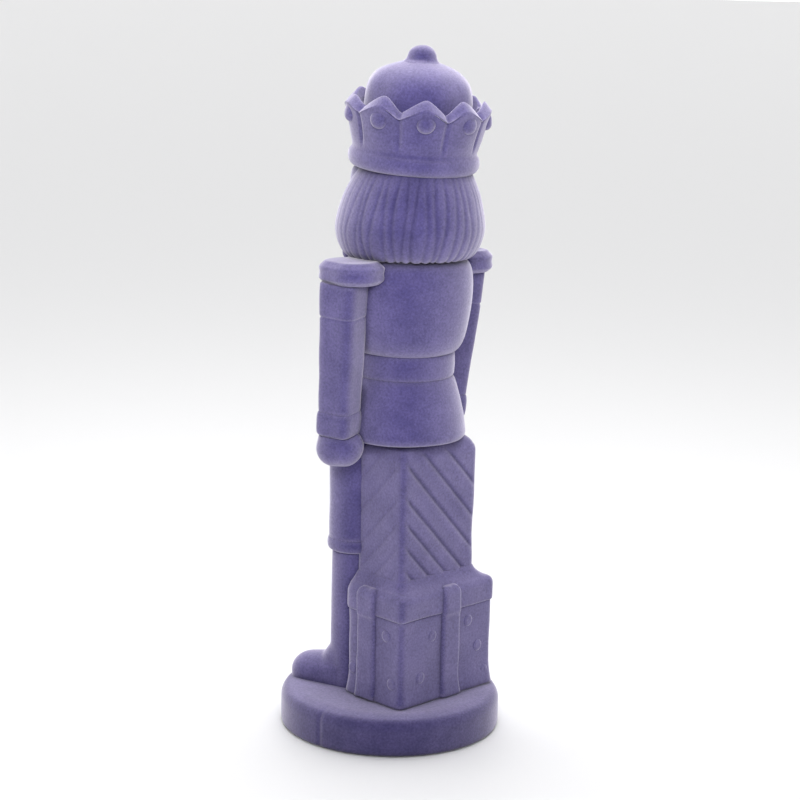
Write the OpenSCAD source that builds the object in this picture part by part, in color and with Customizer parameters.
// Flocked nutcracker figure with a stack of two wrapped gifts behind the legs.
// The figure faces -Y, its own left hand is at +X, the base stands on Z = 0.

/* [Base] */
// Radius of the round base
base_r = 40; // [38:0.5:44]
// Thickness of the base
base_h = 14; // [12:0.5:14]
// Rounding of the top rim
base_rim = 3.6; // [2:0.2:4]

/* [Legs] */
// Distance of each leg from the middle plane
leg_x = 9.6; // [9.6:0.1:10]
// Distance of the legs in front of the base centre
leg_front = 10; // [9.5:0.1:10.5]
// Radius of the trouser legs
trouser_r = 9.1; // [8.5:0.1:9.2]
// Radius of the boot shafts
shaft_r = 8; // [7.5:0.1:8]
// Radius of the rolled boot cuffs
boot_cuff_r = 9.5; // [9:0.1:9.5]
// Height of the top of the boots
boot_top = 65; // [62:0.5:66]
// Length of the foot from the ankle to the toe cap centre
foot_len = 16.8; // [14:0.2:17]
// Angle the feet turn outward
foot_turn = 16.6; // [8:0.2:18]

/* [Gift boxes] */
// Height of the lower box under its lid
low_box_h = 31.6; // [28:0.2:32]
// Height of the lid rim
lid_h = 9; // [7:0.2:9]
// Thickness of the ribbon
ribbon_t = 1; // [0.6:0.1:1.2]
// Width of the ribbon
ribbon_w = 9; // [6:0.2:10]
// Diameter of the raised dots
dot_d = 4.3; // [3:0.1:5]
// Depth of the slanted wrapping creases
crease_d = 0.5; // [0.3:0.1:0.8]

/* [Coat] */
// Distance of the coat axis behind the base centre
coat_back = 4; // [3.5:0.1:4.5]
// Radius of the coat at the hem
hem_r = 22.1; // [21:0.1:22.5]
// Radius of the belt
belt_r = 17.8; // [17:0.1:18.2]
// Radius of the chest
chest_r = 23.6; // [23:0.1:23.8]

/* [Arms] */
// Radius of the sleeve at the shoulder
sleeve_r = 8.1; // [7.6:0.1:8.3]
// Radius of the sleeve at the cuff
wrist_r = 7.1; // [6.6:0.1:7.2]
// Radius of the cuff band
cuff_r = 7.4; // [7.2:0.1:7.8]
// Thickness of the epaulettes
epaulette_h = 8; // [6:0.5:8]

/* [Head] */
// Radius of the head
head_r = 21; // [20:0.1:21]
// Greatest radius of the hair
hair_r = 26; // [25:0.1:26.5]
// Number of grooves in the hair
hair_grooves = 34; // [20:1:40]

/* [Crown] */
// Angle the crown leans back
crown_tilt = 5; // [3:0.5:6]
// Number of crown points
crown_points = 9; // [7:1:10]
// Radius of the crown at the tips
crown_tip_r = 25.4; // [24.5:0.1:26]
// Height of the crown points above the head
crown_h = 26.5; // [24:0.5:27]
// Radius of the round jewels
jewel_r = 2.9; // [2.4:0.1:3]

/* [Hidden] */
$fn = 64;
fit = 0.05;
touch = 0.02;
leg_y = -leg_front;
coat_y = coat_back;
head_y = 2.2;
hair_y = 4.7;
crown_y = 6.1;
crown_z = 203.5;
low_top = base_h + low_box_h;
lid_top = low_top + lid_h;
up_bottom = lid_top + 4.2;
up_edge = 101.5;
hem_z = 107.8;
waist_z = 130.3;
chest_z = 139.2;
neck_z = 172.4;
face_front = head_y - head_r;

// Gift footprints as [x0, x1, y0, y1]
low_box = [-28.7, 18.7, -5, 24];
lid_box = [-29.3, 19.3, -5.6, 24.6];
up_box = [-23.3, 14.6, -4.6, 19.3];

// Arm frame: wrist point, and the leans that carry it up to the shoulder
wrist = [27, -1, 111.6];
arm_lean_x = -4.5;
arm_lean_y = 2.25;
cuff_len = 8.1;

base_col = [0.40, 0.37, 0.56];
body_col = [0.43, 0.40, 0.60];
light_col = [0.52, 0.49, 0.68];
wood_col = [0.80, 0.68, 0.50];

// Points of an arc in a profile, from angle a0 to a1
function arc(cx, cy, r, a0, a1, n) =
    [for (i = [0:n]) let (a = a0 + (a1 - a0) * i / n) [cx + r * cos(a), cy + r * sin(a)]];

// Turned solid standing on its own axis
module turned(points, n = 96) {
    rotate_extrude($fn = n) polygon(points);
}

// Mirrors a left-hand piece for side = -1
module on_side(side) {
    mirror([side < 0 ? 1 : 0, 0, 0]) children();
}

// Box with softened edges and exact outer planes
module soft_box(x0, x1, y0, y1, z0, z1, r) {
    hull() {
        for (x = [x0 + r, x1 - r], y = [y0 + r, y1 - r], z = [z0 + r, z1 - r])
            translate([x, y, z]) sphere(r, $fn = 20);
        translate([x0, y0 + r, z0 + r]) cube([x1 - x0, y1 - y0 - 2 * r, z1 - z0 - 2 * r]);
        translate([x0 + r, y0, z0 + r]) cube([x1 - x0 - 2 * r, y1 - y0, z1 - z0 - 2 * r]);
        translate([x0 + r, y0 + r, z0]) cube([x1 - x0 - 2 * r, y1 - y0 - 2 * r, z1 - z0]);
    }
}

// Box with upright edges softened only, flat top and bottom
module post_box(b, z0, z1, r) {
    hull()
        for (x = [b[0] + r, b[1] - r], y = [b[2] + r, b[3] - r])
            translate([x, y, z0]) cylinder(r = r, h = z1 - z0, $fn = 24);
}

// Frustum between a footprint and the same footprint pulled in
module pillow(b, z0, z1, d, r) {
    hull() {
        for (x = [b[0] + r, b[1] - r], y = [b[2] + r, b[3] - r])
            translate([x, y, z0]) cylinder(r = r, h = 0.4, $fn = 24);
        for (x = [b[0] + r + d, b[1] - r - d], y = [b[2] + r + d, b[3] - r - d])
            translate([x, y, z1 - 0.4]) cylinder(r = r, h = 0.4, $fn = 24);
    }
}

// Clearance round both legs, cut out of the gifts
module leg_space(r) {
    for (s = [-1, 1])
        translate([s * leg_x, leg_y, 1]) cylinder(r = r + fit, h = 120);
}

// Clearance round the dowel that holds the gifts
module gift_dowel_space() {
    translate([-4, 8, 6]) cylinder(r = 3 + fit, h = 76);
}

// Round base with a softly rolled top rim
module base() {
    color(base_col)
    difference() {
        turned(concat([[0, 0]], arc(base_r - 1.6, 1.6, 1.6, -90, 0, 4),
                      arc(base_r - base_rim, base_h - base_rim, base_rim, 0, 90, 6),
                      [[0, base_h]]), 128);
        for (s = [-1, 1])
            translate([s * leg_x, leg_y, 6]) cylinder(r = 2.5 + fit, h = 20);
        translate([-4, 8, 6]) cylinder(r = 3 + fit, h = 20);
    }
}

// Through dowel that pins one leg between base and coat
module leg_dowel(side) {
    color(wood_col)
    on_side(side) translate([leg_x, leg_y, 6]) cylinder(r = 2.5, h = 112);
}
module left_leg_dowel() { leg_dowel(1); }
module right_leg_dowel() { leg_dowel(-1); }

// Dowel that pins the gifts to the base
module gift_dowel() {
    color(wood_col) translate([-4, 8, 6]) cylinder(r = 3, h = 76);
}

// Boot: rounded foot with a plain shaft
module boot(side) {
    toe_x = leg_x + foot_len * sin(foot_turn);
    toe_y = leg_y - foot_len * cos(foot_turn);
    color(body_col)
    on_side(side)
    difference() {
        union() {
            translate([leg_x, leg_y, base_h]) cylinder(r = shaft_r, h = boot_top - base_h);
            hull() {
                translate([toe_x, toe_y, base_h]) cylinder(r = 6.4, h = 3, $fn = 32);
                translate([toe_x, toe_y, base_h + 4]) cylinder(r = 7.3, h = 1.5, $fn = 32);
                translate([toe_x, toe_y, base_h + 4.2]) sphere(6.4, $fn = 32);
                translate([leg_x, leg_y, base_h]) cylinder(r = shaft_r - 0.1, h = 12.5, $fn = 32);
            }
        }
        translate([leg_x, leg_y, 0]) cylinder(r = 2.5 + fit, h = 120);
    }
}
module left_boot() { boot(1); }
module right_boot() { boot(-1); }

// Rolled cuff at the top of a boot
module boot_cuff(side) {
    color(light_col)
    on_side(side) translate([leg_x, leg_y, boot_top])
    difference() {
        turned(concat([[0, 0]], arc(boot_cuff_r - 1.4, 1.4, 1.4, -90, 0, 4),
                      arc(boot_cuff_r - 1.4, 3.1, 1.4, 0, 90, 4), [[0, 4.5]]));
        translate([0, 0, -1]) cylinder(r = 2.5 + fit, h = 8);
    }
}
module left_boot_cuff() { boot_cuff(1); }
module right_boot_cuff() { boot_cuff(-1); }

// Straight trouser leg up to the coat
module trouser_leg(side) {
    color(body_col)
    on_side(side) translate([leg_x, leg_y, 0])
    difference() {
        translate([0, 0, boot_top + 4.5]) cylinder(r = trouser_r, h = hem_z - boot_top - 4.5);
        cylinder(r = 2.5 + fit, h = 130);
    }
}
module left_trouser_leg() { trouser_leg(1); }
module right_trouser_leg() { trouser_leg(-1); }

// Lower gift, relieved at the front to fit round the boots
module lower_gift_box() {
    color(body_col)
    difference() {
        post_box(low_box, base_h, low_top, 1.8);
        leg_space(shaft_r);
        gift_dowel_space();
    }
}

// Lid with a proud rim and a softly raised top
module lid_shape() {
    soft_box(lid_box[0], lid_box[1], lid_box[2], lid_box[3], low_top, lid_top, 1.8);
    pillow([lid_box[0] + 2, lid_box[1] - 2, lid_box[2] + 2, lid_box[3] - 2],
           lid_top - 0.4, up_bottom, 2.8, 1.8);
}
module lower_gift_lid() {
    color(light_col)
    difference() {
        lid_shape();
        leg_space(shaft_r);
        gift_dowel_space();
    }
}

// Ribbon strips over the sides and the lid of the lower gift
module ribbon_band(r) {
    t = ribbon_t;
    intersection() {
        union() {
            post_box([low_box[0] - t, low_box[1] + t, low_box[2] - t, low_box[3] + t],
                     base_h, low_top, r);
            soft_box(lid_box[0] - t, lid_box[1] + t, lid_box[2] - t, lid_box[3] + t,
                     low_top - 0.01, lid_top + t, r);
        }
        union() {
            translate([-5.9 - ribbon_w / 2, 8, 0]) cube([ribbon_w, 40, 80]);
            translate([-60, 6.8 - ribbon_w / 2, 0]) cube([120, ribbon_w, 80]);
        }
    }
}
module lower_gift_ribbon() {
    color(light_col)
    difference() {
        ribbon_band(2.6);
        translate([low_box[0], low_box[2], 0])
            cube([low_box[1] - low_box[0], low_box[3] - low_box[2], low_top]);
        translate([lid_box[0], lid_box[2], low_top - 1])
            cube([lid_box[1] - lid_box[0], lid_box[3] - lid_box[2], lid_top - low_top + 1]);
        translate([lid_box[0] + 1.9, lid_box[2] + 1.9, lid_top - 1])
            cube([lid_box[1] - lid_box[0] - 3.8, lid_box[3] - lid_box[2] - 3.8, 8]);
    }
}

// Raised round dots on the sides of the lower gift
module lower_gift_dots() {
    back = [[3.2, 38.3], [8.8, 23.8], [-20.7, 29.7], [-15.4, 40.2], [-24.2, 19.6]];
    sides = [[16.3, 39.6], [-0.4, 23.7], [19.4, 22.4]];
    color(light_col) {
        for (p = back)
            translate([p[0], low_box[3], p[1]])
                rotate([-90, 0, 0]) cylinder(d1 = dot_d, d2 = dot_d - 1, h = 0.8, $fn = 32);
        for (p = sides) {
            translate([low_box[1], p[0], p[1]])
                rotate([0, 90, 0]) cylinder(d1 = dot_d, d2 = dot_d - 1, h = 0.8, $fn = 32);
            translate([low_box[0], p[0], p[1]])
                rotate([0, -90, 0]) cylinder(d1 = dot_d, d2 = dot_d - 1, h = 0.8, $fn = 32);
        }
    }
}

// One slanted crease on a face that lies in the local XZ plane at Y = 0
module crease(z, slope) {
    translate([0, 0, z]) rotate([0, slope, 0]) rotate([45, 0, 0])
        cube([130, crease_d * 1.42, crease_d * 1.42], center = true);
}

// Upper gift with slanted wrapping creases and a softly raised top
module upper_gift_box() {
    heights = [65, 73.5, 82.2, 91.3, 103.4, 115, 127];
    color(body_col)
    difference() {
        union() {
            post_box(up_box, up_bottom, up_edge - 1.8, 2);
            pillow(up_box, up_edge - 2, up_edge, 1.2, 2);
            pillow([up_box[0] + 1.2, up_box[1] - 1.2, up_box[2] + 1.2, up_box[3] - 1.2],
                   up_edge - 0.2, hem_z, 5.2, 2);
        }
        for (z = heights) {
            translate([up_box[1], up_box[3], 0]) crease(z, -46);
            translate([up_box[0], up_box[3], 0]) crease(z - 38, 46);
            translate([up_box[1], up_box[3], 0]) rotate([0, 0, 90]) crease(z, -46);
            translate([up_box[0], up_box[3], 0]) rotate([0, 0, 90]) crease(z, -46);
        }
        leg_space(boot_cuff_r);
        gift_dowel_space();
    }
}

// Coat below the belt, turned in one with the waist
module coat_skirt() {
    color(body_col)
    difference() {
        translate([0, coat_y, 0])
            turned([[0, hem_z], [hem_r - 1.3, hem_z], [hem_r - 0.3, hem_z + 0.7],
                    [hem_r, hem_z + 2.2], [hem_r, hem_z + 4.4], [hem_r - 0.7, 117],
                    [hem_r - 2, 122.5], [belt_r + 0.7, 128], [belt_r + 0.2, waist_z],
                    [belt_r - 1.8, waist_z], [belt_r - 1.8, chest_z], [0, chest_z]]);
        for (s = [-1, 1])
            translate([s * leg_x, leg_y, 90]) cylinder(r = 2.5 + fit, h = 28.1);
        translate([0, coat_y, 122]) cylinder(r = 4 + fit, h = 40);
    }
}

// Belt round the waist
module belt() {
    r = belt_r;
    color(light_col)
    translate([0, coat_y, 0])
    turned([[r - 1.8 + fit, waist_z], [r - 0.5, waist_z], [r, waist_z + 0.5],
            [r, chest_z - 0.5], [r - 0.5, chest_z], [r - 1.8 + fit, chest_z]]);
}

// Open buckle frame with its tongue, bent round the belt
module belt_buckle() {
    color(light_col)
    translate([0, coat_y, 0])
    difference() {
        rotate([0, 0, -90 - 16]) rotate_extrude(angle = 32, $fn = 96)
            polygon([[belt_r + touch, 130.9], [belt_r + 1.2, 130.9],
                     [belt_r + 1.2, 138.6], [belt_r + touch, 138.6]]);
        for (a = [-10.5, 1.5])
            rotate([0, 0, -90 + a]) rotate_extrude(angle = 9, $fn = 96)
                polygon([[belt_r - 1, 132.7], [belt_r + 3, 132.7],
                         [belt_r + 3, 136.8], [belt_r - 1, 136.8]]);
    }
}

// Dowel between the skirt and the chest
module body_dowel() {
    color(wood_col) translate([0, coat_y, 122]) cylinder(r = 4, h = 34);
}

// Chest shape, grown by g for cutting its neighbours
module chest_shape(g) {
    r = chest_r + g;
    translate([0, coat_y, 0])
    turned([[0, chest_z - g], [r - 5.4, chest_z - g], [r - 3.5, 141.6], [r - 2.2, 145],
            [r - 1.1, 150], [r - 0.4, 156.5], [r, 163], [r - 0.2, 167.3],
            [r - 1.1, 170.4], [r - 2.9, neck_z + g], [0, neck_z + g]]);
}

// Points down the coat front that carry the buttons, as [z, radius]
function button_rows() = [[145.6, chest_r - 2.2], [152.4, chest_r - 0.9], [159.2, chest_r - 0.3]];

// Coat above the belt
module coat_chest() {
    color(body_col)
    difference() {
        chest_shape(0);
        translate([0, coat_y, 120]) cylinder(r = 4 + fit, h = 36);
        translate([0, coat_y, 164]) cylinder(r = 5 + fit, h = 20);
        for (s = [-1, 1])
            translate([s * 15, 3, 158]) rotate([0, s * 90, 0]) cylinder(r = 2 + fit, h = 14);
        for (b = button_rows())
            translate([0, coat_y - b[1] + 1.5, b[0]])
                rotate([90, 0, 0]) cylinder(r = 2 + fit, h = 6, $fn = 32);
    }
}

// Domed buttons, each on a short round shank let into the coat
module coat_buttons() {
    color(light_col)
    for (b = button_rows())
        translate([0, coat_y - b[1] + 1.4, b[0]]) rotate([90, 0, 0])
            turned([[0, 0], [2, 0], [2, 2.2], [1.6, 2.9], [0.8, 3.3], [0, 3.4]], 32);
}

// Epaulette: soft slab on the shoulder, hollowed to the chest
module epaulette(side) {
    color(light_col)
    on_side(side)
    difference() {
        soft_box(19, 36, -7.2, 16, 165, 165 + epaulette_h, 3);
        translate([0, coat_y, 150]) cylinder(r = chest_r + touch, h = 40, $fn = 96);
    }
}
module left_epaulette() { epaulette(1); }
module right_epaulette() { epaulette(-1); }

// Horizontal dowel through the shoulder
module shoulder_dowel(side) {
    color(wood_col)
    on_side(side) translate([15.2, 3, 158]) rotate([0, 90, 0]) cylinder(r = 2, h = 13.8);
}
module left_shoulder_dowel() { shoulder_dowel(1); }
module right_shoulder_dowel() { shoulder_dowel(-1); }

// Places children in the leaning frame of the left arm, origin at the wrist
module arm_frame() {
    translate(wrist) rotate([arm_lean_x, arm_lean_y, 0]) children();
}

// Sleeve with a ring groove below the shoulder
module sleeve(side) {
    top = 60;
    slope = (sleeve_r - wrist_r) / (54 - cuff_len);
    color(body_col)
    on_side(side)
    difference() {
        arm_frame()
            turned([[0, cuff_len], [wrist_r, cuff_len],
                    [wrist_r + slope * (42 - cuff_len), 42],
                    [wrist_r + slope * (42 - cuff_len) - 0.35, 42.4],
                    [wrist_r + slope * (42.8 - cuff_len), 42.8],
                    [wrist_r + slope * (top - cuff_len), top], [0, top]], 64);
        translate([0, -30, 164.98]) cube([60, 60, 20]);
        chest_shape(touch);
        translate([10, 3, 158]) rotate([0, 90, 0]) cylinder(r = 2 + fit, h = 19.2);
        arm_frame() translate([0, 0, -5]) cylinder(r = 1.5 + fit, h = 24, $fn = 32);
    }
}
module left_sleeve() { sleeve(1); }
module right_sleeve() { sleeve(-1); }

// Cuff band at the end of the sleeve
module cuff(side) {
    color(light_col)
    on_side(side)
    arm_frame()
    difference() {
        turned([[0, 0], [cuff_r - 0.4, 0], [cuff_r, 0.5], [cuff_r, cuff_len - 0.5],
                [cuff_r - 0.4, cuff_len], [0, cuff_len]], 64);
        translate([0, 0, -2]) cylinder(r = 1.5 + fit, h = 12, $fn = 32);
    }
}
module left_cuff() { cuff(1); }
module right_cuff() { cuff(-1); }

// Dowel from the hand into the sleeve
module wrist_dowel(side) {
    color(wood_col)
    on_side(side) arm_frame() translate([0, 0, -4.8]) cylinder(r = 1.5, h = 23.6, $fn = 32);
}
module left_wrist_dowel() { wrist_dowel(1); }
module right_wrist_dowel() { wrist_dowel(-1); }

// Closed mitten-like hand
module hand(side) {
    color(body_col)
    on_side(side)
    arm_frame()
    difference() {
        hull() {
            translate([0, 0, -4]) sphere(6.7, $fn = 28);
            translate([-1.2, 1.9, -3.4]) sphere(6.5, $fn = 28);
            translate([0, 0.4, -1.2]) cylinder(r = 6.9, h = 1.2, $fn = 28);
        }
        translate([-20, -20, 0]) cube([40, 40, 20]);
        translate([0, 0, -5]) cylinder(r = 1.5 + fit, h = 24, $fn = 32);
    }
}
module left_hand() { hand(1); }
module right_hand() { hand(-1); }

// Dowel between the chest and the head
module head_dowel() {
    color(wood_col) translate([0, coat_y, 164]) cylinder(r = 5, h = 20);
}

// Places children on the tilted plane where the crown sits
module crown_frame() {
    translate([0, crown_y, crown_z]) rotate([-crown_tilt, 0, 0]) children();
}

// Everything above the crown plane, used to trim the head and hair
module above_crown() {
    crown_frame() translate([-50, -50, 0]) cube([100, 100, 60]);
}

// Head core with a rounded forehead
module head() {
    color(body_col)
    difference() {
        translate([0, head_y, 0])
            turned([[0, neck_z], [head_r - 1, neck_z], [head_r, neck_z + 1.2],
                    [head_r, 199], [head_r - 0.5, 202], [head_r - 2.2, 206], [0, 206]]);
        above_crown();
        translate([0, coat_y, 160]) cylinder(r = 5 + fit, h = 24.1);
        crown_frame() translate([0, 0, -12.1]) cylinder(r = 3 + fit, h = 30);
    }
}

// Head front grown by a touch, for seating the face pieces
module head_seat() {
    translate([0, head_y, 150]) cylinder(r = head_r + touch, h = 60, $fn = 96);
}

// Short full beard below the mouth
module beard() {
    color(light_col)
    difference() {
        hull() {
            for (s = [-1, 1]) {
                translate([s * 8.6, face_front + 2.6, 180]) sphere(2.6, $fn = 24);
                translate([s * 6.4, face_front + 0.9, 172]) sphere(3, $fn = 24);
            }
            translate([0, face_front + 0.2, 167.6]) sphere(3, $fn = 24);
            translate([0, face_front + 0.8, 179.8]) sphere(2.8, $fn = 24);
        }
        head_seat();
        chest_shape(touch);
    }
}

// Fixed mouth block with a row of teeth
module mouth() {
    color(light_col)
    difference() {
        translate([-5.4, face_front - 1.1, 182.9]) cube([10.8, 4, 3.9]);
        for (i = [-2:2])
            translate([i * 2.1 - 0.2, face_front - 2, 183.5]) cube([0.4, 1.3, 2.7]);
        head_seat();
    }
}

// Moustache in two drooping lobes
module moustache() {
    color(light_col)
    difference() {
        for (s = [-1, 1])
            hull() {
                translate([s * 0.6, face_front + 0.3, 188.9]) sphere(1.7, $fn = 20);
                translate([s * 5.4, face_front + 1, 188.6]) sphere(1.6, $fn = 20);
                translate([s * 9.6, face_front + 2.6, 190.6]) sphere(1, $fn = 20);
            }
        head_seat();
    }
}

// Rounded nose
module nose() {
    color(body_col)
    difference() {
        hull() {
            translate([0, face_front - 1.1, 192.6]) sphere(1.9, $fn = 24);
            translate([0, face_front + 0.6, 196.6]) sphere(1.2, $fn = 24);
        }
        head_seat();
    }
}

// Low domed eyes
module eyes() {
    color(light_col)
    difference() {
        for (s = [-1, 1])
            translate([s * 6.2, face_front + 1.9, 194.9]) sphere(2, $fn = 32);
        head_seat();
    }
}

// Short calm eyebrows
module eyebrows() {
    r = head_r + touch;
    color(light_col)
    for (a = [9, 26 - 52])
        translate([0, head_y, 0]) rotate([0, 0, -90 + a]) rotate_extrude(angle = 17, $fn = 96)
            polygon([[r, 197.8], [r + 0.7, 198], [r + 0.9, 198.7], [r + 0.6, 199.4], [r, 199.6]]);
}

// Hair outline from the inside up the outside, grown by g
function hair_outline(g) = [[hair_r - 4.4 + g, neck_z + 0.1], [hair_r - 2.7 + g, neck_z + 0.9],
    [hair_r - 1 + g, 176.3], [hair_r + g, 181.5], [hair_r - 0.4 + g, 187],
    [hair_r - 1.8 + g, 193], [hair_r - 3.6 + g, 199], [hair_r - 5.4 + g, 204.2]];

// Full hair round the back and sides, with shallow combed grooves
module hair() {
    span = 284;
    color(body_col)
    difference() {
        translate([0, hair_y, 0]) {
            difference() {
                rotate([0, 0, 90 - span / 2]) rotate_extrude(angle = span, $fn = 96)
                    polygon(concat([[15, neck_z + 0.1]], hair_outline(0), [[15, 205.8]]));
                for (i = [0:hair_grooves - 1])
                    rotate([0, 0, 90 - span / 2 + span * (i + 0.5) / hair_grooves])
                        rotate_extrude(angle = 1.3, $fn = 96)
                            polygon(concat(hair_outline(-0.5),
                                [[hair_r + 2, 210], [hair_r + 2, neck_z - 1],
                                 [hair_r - 4.9, neck_z - 1]]));
            }
        }
        translate([0, head_y, 150]) cylinder(r = head_r + touch, h = 60, $fn = 96);
        above_crown();
    }
}

// Dowel from the head through the crown floor into the cap
module crown_dowel() {
    color(wood_col) crown_frame() translate([0, 0, -12]) cylinder(r = 3, h = 30);
}

// Wall radius of the crown at height h above its seat
function wall_r(h) = 21.9 + (crown_tip_r - 21.9) * (h - 6) / (crown_h - 6);

// Crown with a rolled lower band and a ring of pointed panels
module crown() {
    step = 360 / crown_points;
    half = 3.1416 * crown_tip_r / crown_points - 0.9;
    color(light_col)
    crown_frame()
    difference() {
        turned([[0, 0], [20.9, 0], [22.2, 0.8], [22.8, 2.4], [22.8, 4], [22.3, 5.3], [21.9, 6],
                [wall_r(14), 14], [crown_tip_r, crown_h], [crown_tip_r - 3.4, crown_h],
                [18.6, 9], [0, 9]]);
        for (i = [0:crown_points - 1])
            rotate([0, 0, 90 + step * (i + 0.5)]) {
                translate([12, 0, 0]) rotate([90, 0, 90]) linear_extrude(20)
                    polygon([[0, crown_h - 7.8], [half, crown_h - 0.2], [half, crown_h + 4],
                             [-half, crown_h + 4], [-half, crown_h - 0.2]]);
                translate([wall_r(15), 0, 11]) rotate([0, 9, 0]) rotate([0, 0, 45])
                    cube([0.8, 0.8, 14]);
            }
        for (i = [0:crown_points - 1])
            rotate([0, 0, 90 + step * i])
                translate([wall_r(17.8) - 0.3, 0, 17.8]) sphere(jewel_r + touch, $fn = 32);
        translate([0, 0, -1]) cylinder(r = 3 + fit, h = 20);
    }
}

// Round jewels, one on each crown panel
module crown_jewels() {
    color(light_col)
    crown_frame()
    for (i = [0:crown_points - 1])
        rotate([0, 0, 90 + 360 / crown_points * i])
            translate([wall_r(17.8) - 0.3, 0, 17.8]) sphere(jewel_r, $fn = 32);
}

// Puffed cap inside the crown
module crown_cap() {
    color(body_col)
    crown_frame()
    difference() {
        turned([[0, 9], [18.4, 9], [18.5, 20], [18.3, 24.5], [17.4, 28.4], [15.4, 31.9],
                [12.2, 34.7], [8.4, 36.6], [5.4, 37.4], [0, 37.4]]);
        translate([0, 0, 8]) cylinder(r = 3 + fit, h = 10.1);
    }
}

// Blunt knob on the cap
module crown_knob() {
    color(light_col)
    crown_frame()
    turned([[0, 37.4], [5.4, 37.4], [5.2, 39.2], [4.5, 41], [3.2, 42.2], [1.6, 42.8],
            [0, 42.9]], 48);
}

base();
left_leg_dowel();
right_leg_dowel();
gift_dowel();
left_boot();
right_boot();
left_boot_cuff();
right_boot_cuff();
left_trouser_leg();
right_trouser_leg();
lower_gift_box();
lower_gift_lid();
lower_gift_ribbon();
lower_gift_dots();
upper_gift_box();
coat_skirt();
belt();
belt_buckle();
body_dowel();
coat_chest();
coat_buttons();
left_epaulette();
right_epaulette();
left_shoulder_dowel();
right_shoulder_dowel();
left_sleeve();
right_sleeve();
left_cuff();
right_cuff();
left_wrist_dowel();
right_wrist_dowel();
left_hand();
right_hand();
head_dowel();
head();
beard();
mouth();
moustache();
nose();
eyes();
eyebrows();
hair();
crown_dowel();
crown();
crown_jewels();
crown_cap();
crown_knob();
